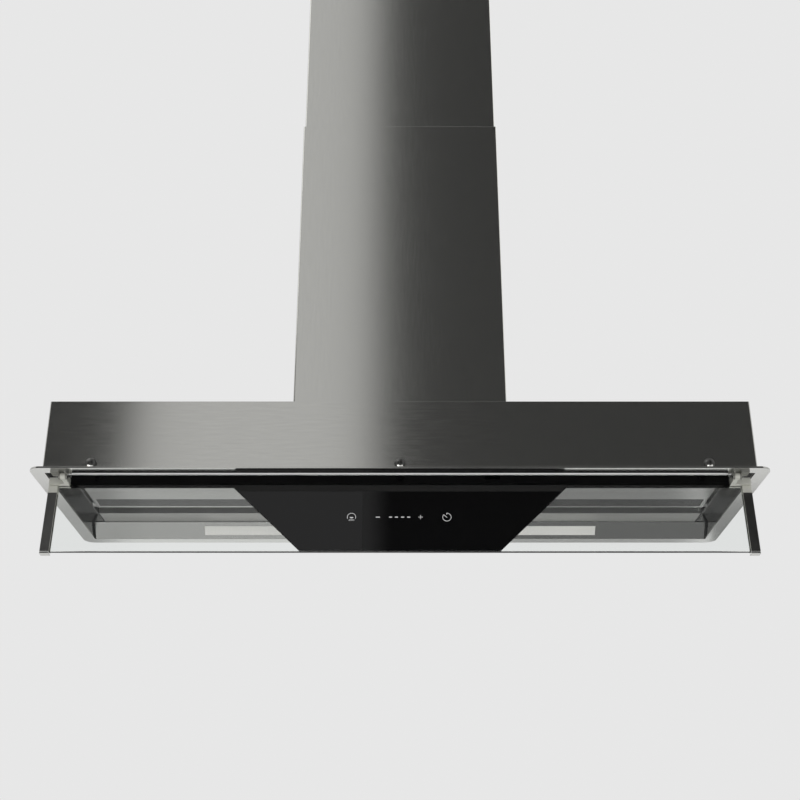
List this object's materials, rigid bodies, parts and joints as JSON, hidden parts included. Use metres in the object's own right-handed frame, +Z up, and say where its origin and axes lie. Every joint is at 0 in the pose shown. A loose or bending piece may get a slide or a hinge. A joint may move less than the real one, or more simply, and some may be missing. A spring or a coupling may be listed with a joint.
{
  "type": "island range hood",
  "caption": "T-shaped island range hood: steel chimney and box canopy, flanged tray with suction panel and lamp bars, and a hinged glass visor with a dark control field.",
  "frame": {"origin": "middle of the ceiling plate's top face, on the ceiling", "axes": "+X to the right along the hood's width, +Y to the back, +Z up; the visor faces -Y"},
  "size_m": [0.9, 0.304, 1.0491],
  "materials": {
    "brushed_canopy": "horizontal brushed grain",
    "brushed_chimney": "vertical brushed grain",
    "polished_steel": "polished rim, tray and trims",
    "zinc_steel": "galvanised inner sheet",
    "screw_steel": "plain fasteners",
    "graphite_metal": "satin graphite paint",
    "pale_metal": "satin cast blocks of the visor",
    "clear_glass": "toughened, polished edges",
    "black_print": "black print behind glass",
    "black_plastic": "moulded black plastic",
    "grey_plastic": "moulded grey plastic",
    "white_plastic": "opal and white plastic",
    "circuit_board": "white solder mask",
    "filter_aluminium": "expanded mesh and frame",
    "soft_rubber": "moulded rubber"
  },
  "bodies": {
    "hood": {"ceiling_plate": "zinc_steel", "upper_posts": "zinc_steel", "lower_posts": "zinc_steel", "tie_rings": "zinc_steel", "base_ring": "zinc_steel", "post_screws": "screw_steel", "anchor_washers": "zinc_steel", "lower_chimney": "brushed_chimney", "sleeve_pads": "soft_rubber", "canopy_shell": "brushed_canopy", "rim_frame": "polished_steel", "tray_liner": "polished_steel", "cap_screws": "polished_steel", "cap_nuts": "screw_steel", "lamp_panel": "polished_steel", "lamp_housings": "zinc_steel", "led_boards": "circuit_board", "lamp_lenses": "white_plastic", "led_driver": "white_plastic", "control_box": "grey_plastic", "control_lid": "black_plastic", "terminal_block": "white_plastic", "cable_gland": "black_plastic", "capacitor": "white_plastic", "filter_frames": "filter_aluminium", "filter_meshes": "filter_aluminium", "magnet_posts": "zinc_steel", "panel_pins": "screw_steel", "blower_box": "zinc_steel", "scroll_left": "grey_plastic", "scroll_right": "grey_plastic", "motor": "zinc_steel", "motor_bracket": "zinc_steel", "motor_mounts": "soft_rubber", "outlet_adapter": "grey_plastic", "duct_collar": "grey_plastic", "damper_rod": "polished_steel", "hinge_leaves": "pale_metal", "leaf_screws": "screw_steel", "hinge_pins": "polished_steel"},
    "upper_sleeve": {"upper_chimney": "brushed_chimney"},
    "visor": {"hinge_blocks": "pale_metal", "arm_heads": "pale_metal", "side_arms": "graphite_metal", "arm_caps": "polished_steel", "glass_panel": "clear_glass", "control_film": "black_print", "touch_board": "black_plastic", "top_trim": "polished_steel"},
    "panel": {"suction_panel": "brushed_canopy", "panel_magnets": "screw_steel"},
    "left_catch": {"latch_left": "black_plastic"},
    "right_catch": {"latch_right": "black_plastic"},
    "fan": {"fan_wheel": "grey_plastic", "motor_shaft": "polished_steel"},
    "front_flap": {"damper_front": "grey_plastic"},
    "rear_flap": {"damper_rear": "grey_plastic"}
  },
  "joints": [
    {"name": "visor_flip", "type": "hinge", "parent": "hood", "child": "visor", "pos_m": [0, -0.14, -0.956], "axis": [-1, 0, 0], "range_deg": [0, 176]},
    {"name": "panel_drop", "type": "hinge", "parent": "hood", "child": "panel", "pos_m": [0, 0.0465, -0.9275], "axis": [1, 0, 0], "range_deg": [0, 85]},
    {"name": "left_catch_slide", "type": "slide", "parent": "hood", "child": "left_catch", "axis": [0, 1, 0], "range_m": [0, 0.005], "stiffness_N_per_m": 400, "springref_m": -0.004},
    {"name": "right_catch_slide", "type": "slide", "parent": "hood", "child": "right_catch", "axis": [0, 1, 0], "range_m": [0, 0.005], "stiffness_N_per_m": 400, "springref_m": -0.004},
    {"name": "fan_spin", "type": "hinge", "parent": "hood", "child": "fan", "pos_m": [0, -0.012, -0.768], "axis": [1, 0, 0], "continuous": true},
    {"name": "front_flap_lift", "type": "hinge", "parent": "hood", "child": "front_flap", "pos_m": [0, 0, -0.591], "axis": [-1, 0, 0], "range_deg": [0, 75]},
    {"name": "rear_flap_lift", "type": "hinge", "parent": "hood", "child": "rear_flap", "pos_m": [0, 0, -0.591], "axis": [1, 0, 0], "range_deg": [0, 75]},
    {"name": "upper_sleeve_slide", "type": "slide", "parent": "hood", "child": "upper_sleeve", "axis": [0, 0, -1], "range_m": [0, 0.34]}
  ]
}
